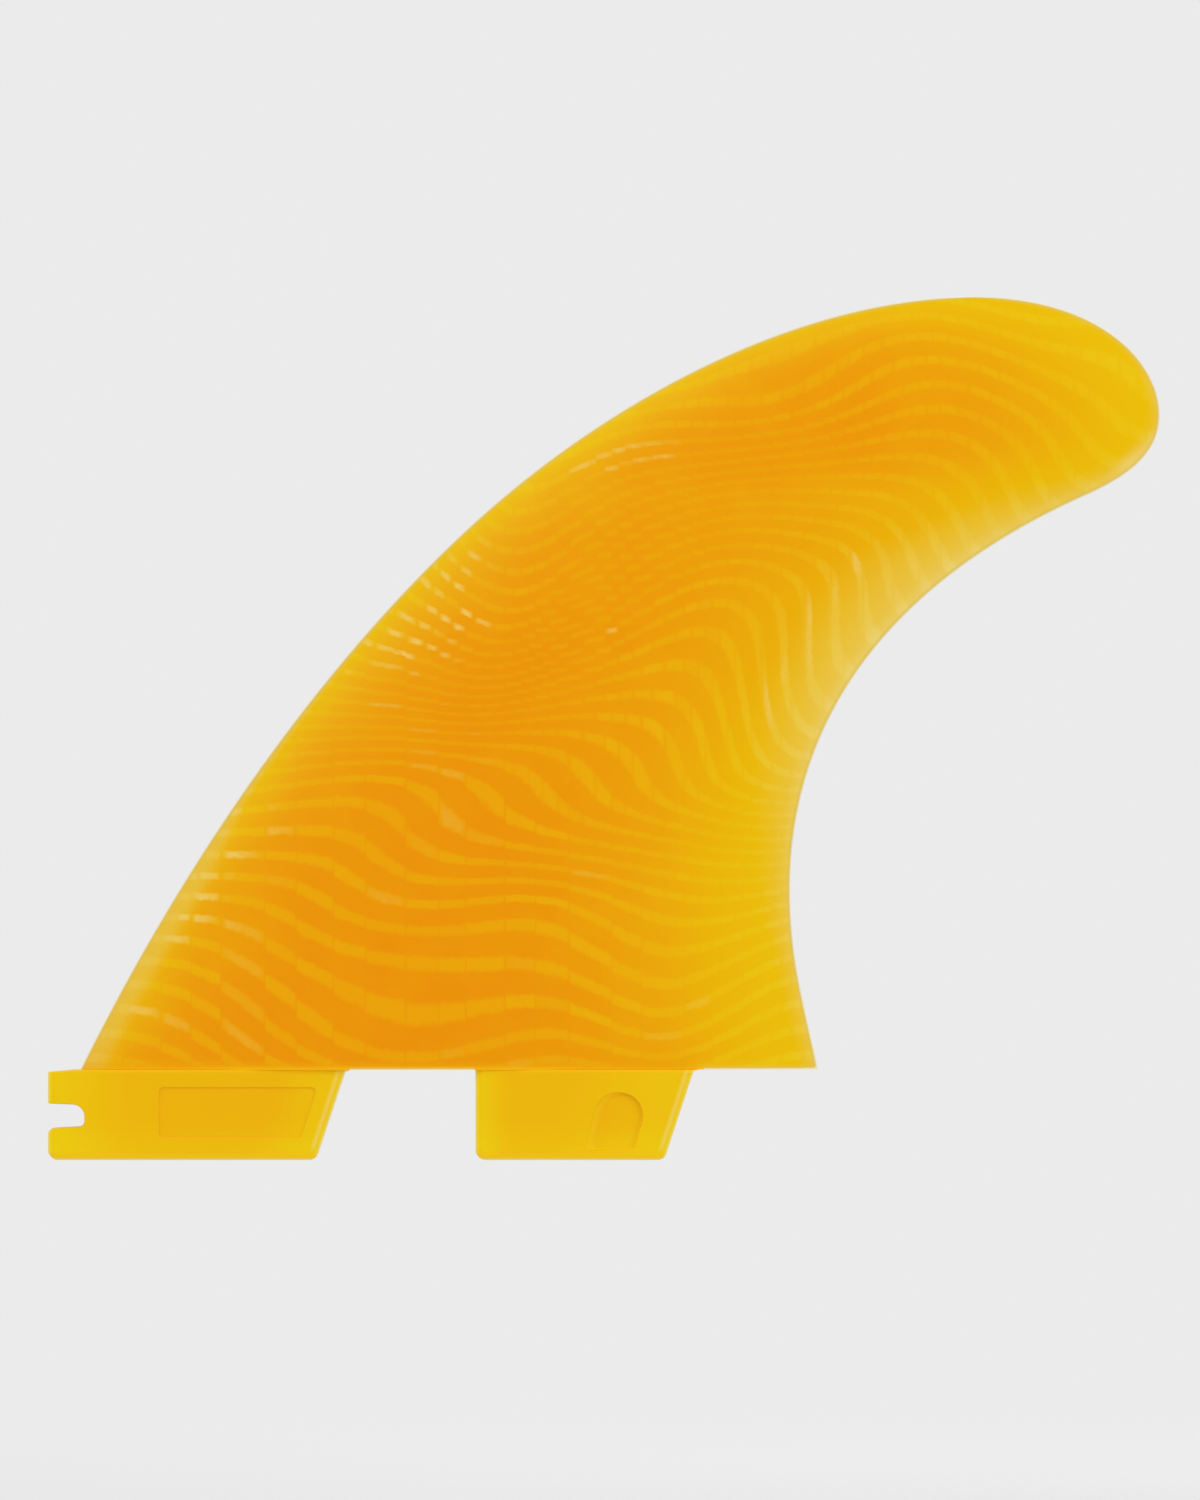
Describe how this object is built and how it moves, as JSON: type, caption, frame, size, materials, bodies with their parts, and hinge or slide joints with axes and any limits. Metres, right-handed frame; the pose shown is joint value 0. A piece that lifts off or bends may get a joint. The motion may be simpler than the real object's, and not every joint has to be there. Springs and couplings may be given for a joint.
{
  "type": "surfboard fin",
  "caption": "Raked surfboard side fin, flat on its inner face and foiled on its outer face, with tabs below the base that drop into slots in the board.",
  "frame": {"origin": "middle of the base chord, on the flat underside of the blade between the tabs, halfway through the thickness of the tabs", "axes": "+Z points away from the board to the top of the blade, +X runs along the base from the leading edge to the trailing edge, +Y points out of the flat inner face"},
  "size_m": [0.1673, 0.007, 0.1299],
  "materials": {
    "fin": "translucent amber resin moulding, smooth and semi-gloss"
  },
  "bodies": {
    "root": {"fin": "fin"}
  },
  "joints": []
}
